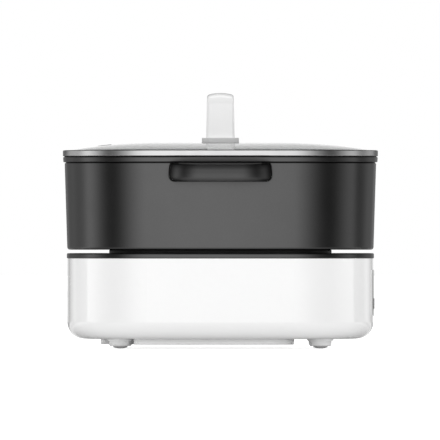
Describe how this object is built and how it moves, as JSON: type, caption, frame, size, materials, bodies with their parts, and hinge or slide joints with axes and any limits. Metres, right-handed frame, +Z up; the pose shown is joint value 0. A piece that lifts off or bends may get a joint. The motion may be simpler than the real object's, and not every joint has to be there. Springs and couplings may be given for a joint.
{
  "type": "electric hot pot",
  "caption": "Square split-type electric hot pot: white heated base with control panel and keys, dark cast pot with side handles, and a lift-off glass lid with steel rim and upright handle.",
  "frame": {"origin": "on the table, under the centre of the base", "axes": "+Z up, the control panel faces -Y, the pot's handles lie on the X axis"},
  "size_m": [0.3664, 0.3, 0.2427],
  "materials": {
    "white_shell": "glossy moulded plastic",
    "dark_cover": "satin moulded plastic",
    "plate_coating": "black heat-resistant coating on cast aluminium",
    "pot_coating": "dark grey fine-grained coating on cast aluminium",
    "grip": "satin moulded thermoset",
    "glass": "clear tempered glass",
    "rim_steel": "polished rolled sheet",
    "seal": "matt silicone",
    "handle_white": "glossy moulded plastic",
    "collar_grey": "satin moulded plastic",
    "steel": "zinc-plated",
    "spring_steel": "bright wire",
    "shield_sheet": "galvanised sheet",
    "foot_white": "glossy moulded plastic",
    "pad_rubber": "matt rubber",
    "inlet_black": "satin moulded plastic",
    "pin_brass": "nickel-plated brass",
    "panel_black": "glossy smoked plastic",
    "window_smoke": "clear smoked plastic",
    "key_grey": "satin moulded plastic",
    "board_green": "laminate with solder mask",
    "component_black": "moulded case",
    "component_blue": "moulded case",
    "component_yellow": "moulded case",
    "terminal_green": "moulded case",
    "lamination": "varnished steel laminations and winding",
    "lead_brown": "insulated wire",
    "lead_white": "glass-sleeved wire",
    "fuse_metal": "metal case"
  },
  "bodies": {
    "base": {"base_shell": "white_shell", "top_cover": "dark_cover", "heating_plate": "plate_coating", "plate_gasket": "seal", "heating_element": "steel", "heat_shield": "shield_sheet", "plate_bolts": "steel", "shield_screws": "steel", "sensor_holder": "fuse_metal", "sensor_spring": "spring_steel", "thermal_fuse": "fuse_metal", "fuse_clip": "spring_steel", "shell_screws": "steel", "foot_screws": "steel", "bottom_cover": "white_shell", "bottom_cover_screws": "steel", "power_board": "board_green", "board_screws": "steel", "relay": "component_blue", "transformer": "lamination", "filter_capacitor": "component_yellow", "terminal_block": "terminal_green", "control_panel": "panel_black", "display_window": "window_smoke", "display_module": "component_black", "control_board": "board_green", "key_switches": "component_black", "power_inlet": "inlet_black", "inlet_pins": "pin_brass", "inlet_screws": "steel", "mains_leads": "lead_brown", "heater_leads": "lead_white", "sensor_lead": "lead_white", "signal_ribbon": "lead_white", "foot_front_left": "foot_white", "pad_front_left": "pad_rubber", "foot_front_right": "foot_white", "pad_front_right": "pad_rubber", "foot_back_left": "foot_white", "pad_back_left": "pad_rubber", "foot_back_right": "foot_white", "pad_back_right": "pad_rubber"},
    "pot": {"pot": "pot_coating", "pot_handle_right": "grip", "pot_handle_left": "grip", "pot_handle_screws": "steel"},
    "lid": {"lid_glass": "glass", "lid_rim": "rim_steel", "lid_seal": "seal", "steam_vent": "rim_steel", "handle_collar": "collar_grey", "lid_handle": "handle_white", "handle_washers": "seal", "handle_bolts": "steel"},
    "sensor": {"sensor_cap": "fuse_metal"},
    "key_power": {"key_power": "key_grey"},
    "key_minus": {"key_minus": "key_grey"},
    "key_plus": {"key_plus": "key_grey"},
    "key_mode": {"key_mode": "key_grey"},
    "key_timer": {"key_timer": "key_grey"}
  },
  "joints": [
    {"name": "pot_lift", "type": "slide", "parent": "base", "child": "pot", "axis": [0, 0, 1], "range_m": [0, 0.15]},
    {"name": "lid_lift", "type": "slide", "parent": "pot", "child": "lid", "axis": [0, 0, 1], "range_m": [0, 0.12]},
    {"name": "sensor_press", "type": "slide", "parent": "base", "child": "sensor", "axis": [0, 0, 1], "range_m": [-0.0015, 0], "stiffness_N_per_m": 300, "springref_m": 0.003, "deforming": ["sensor_spring"]},
    {"name": "key_power_press", "type": "slide", "parent": "base", "child": "key_power", "axis": [0, 1, 0], "range_m": [0, 0.0006], "stiffness_N_per_m": 600, "springref_m": -0.0008},
    {"name": "key_minus_press", "type": "slide", "parent": "base", "child": "key_minus", "axis": [0, 1, 0], "range_m": [0, 0.0006], "stiffness_N_per_m": 600, "springref_m": -0.0008},
    {"name": "key_plus_press", "type": "slide", "parent": "base", "child": "key_plus", "axis": [0, 1, 0], "range_m": [0, 0.0006], "stiffness_N_per_m": 600, "springref_m": -0.0008},
    {"name": "key_mode_press", "type": "slide", "parent": "base", "child": "key_mode", "axis": [0, 1, 0], "range_m": [0, 0.0006], "stiffness_N_per_m": 600, "springref_m": -0.0008},
    {"name": "key_timer_press", "type": "slide", "parent": "base", "child": "key_timer", "axis": [0, 1, 0], "range_m": [0, 0.0006], "stiffness_N_per_m": 600, "springref_m": -0.0008}
  ]
}
